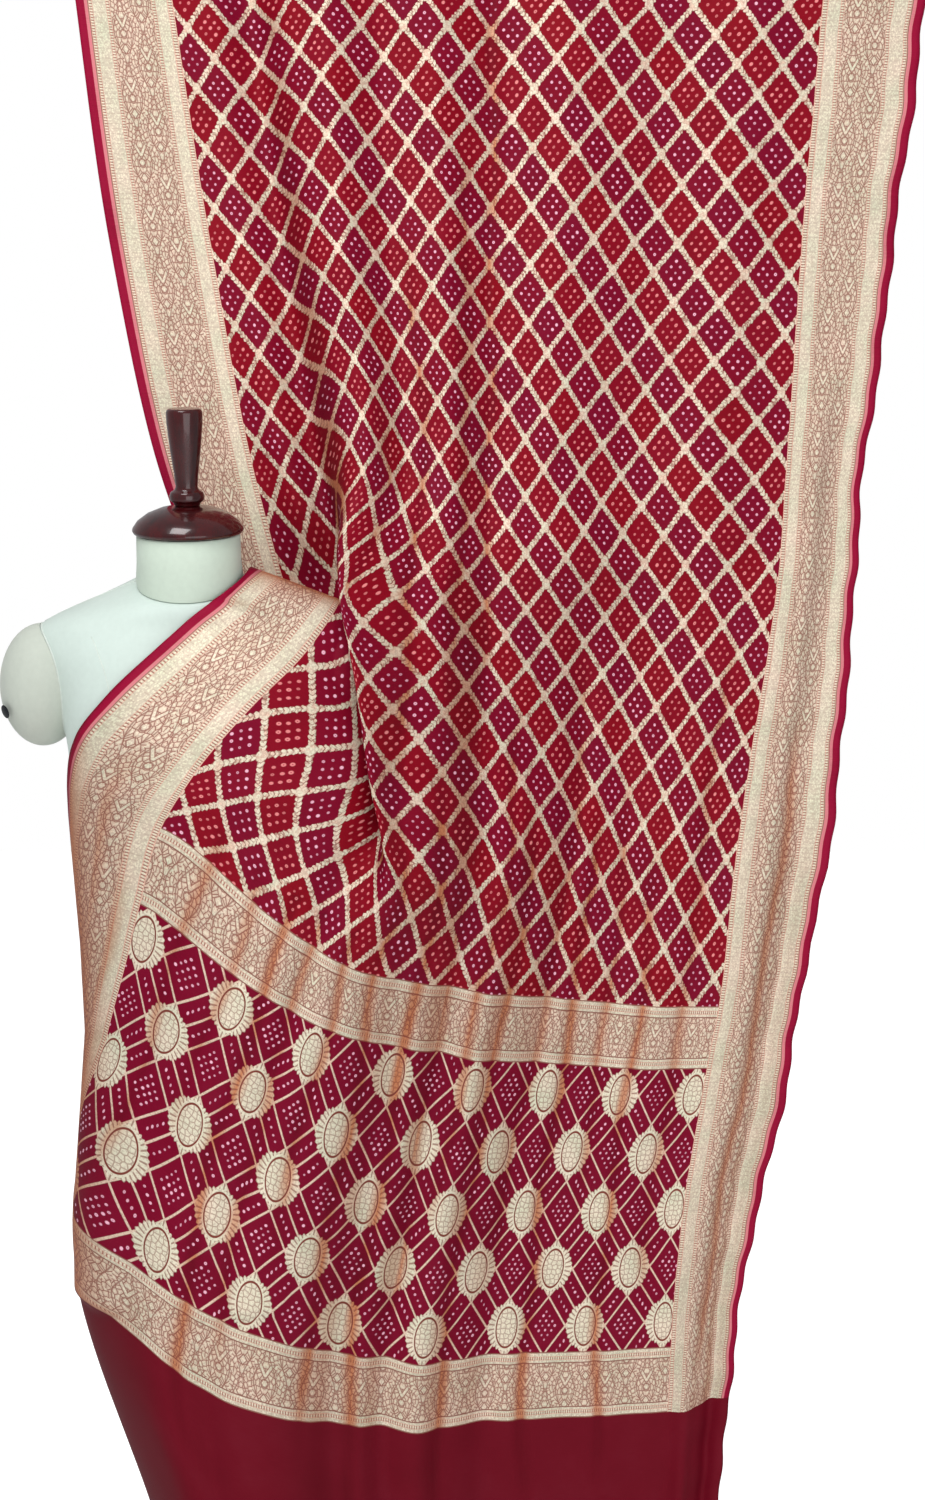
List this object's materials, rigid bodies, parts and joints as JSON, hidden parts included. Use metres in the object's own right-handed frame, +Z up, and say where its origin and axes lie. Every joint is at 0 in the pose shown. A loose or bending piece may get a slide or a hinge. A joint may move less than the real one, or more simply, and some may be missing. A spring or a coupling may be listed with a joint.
{
  "type": "bandhani cloth on dress form",
  "caption": "Bordered bandhani saree hung from its top edge and drawn over the shoulder of a padded dress form on a round-based stand.",
  "frame": {"origin": "middle of the stand base's underside, on the floor under the form's neck", "axes": "+Z up; the form's chest faces -Y; +X is towards the hanging part of the saree"},
  "size_m": [1.079, 0.4168, 2.1501],
  "materials": {
    "saree": "soft tie-dyed silk with woven zari",
    "form_cover": "smooth pale cotton",
    "turned_wood": "polished dark red-brown",
    "steel": "brushed",
    "blackened_steel": "satin black"
  },
  "bodies": {
    "root": {"saree_cloth": "saree", "form_torso": "form_cover", "form_neck": "form_cover", "arm_stump_left": "form_cover", "arm_stump_right": "form_cover", "arm_bolt": "blackened_steel", "neck_cap": "turned_wood", "cap_handle": "turned_wood", "pole_collar": "turned_wood", "stand_base": "turned_wood", "stand_pole": "steel"}
  },
  "joints": []
}
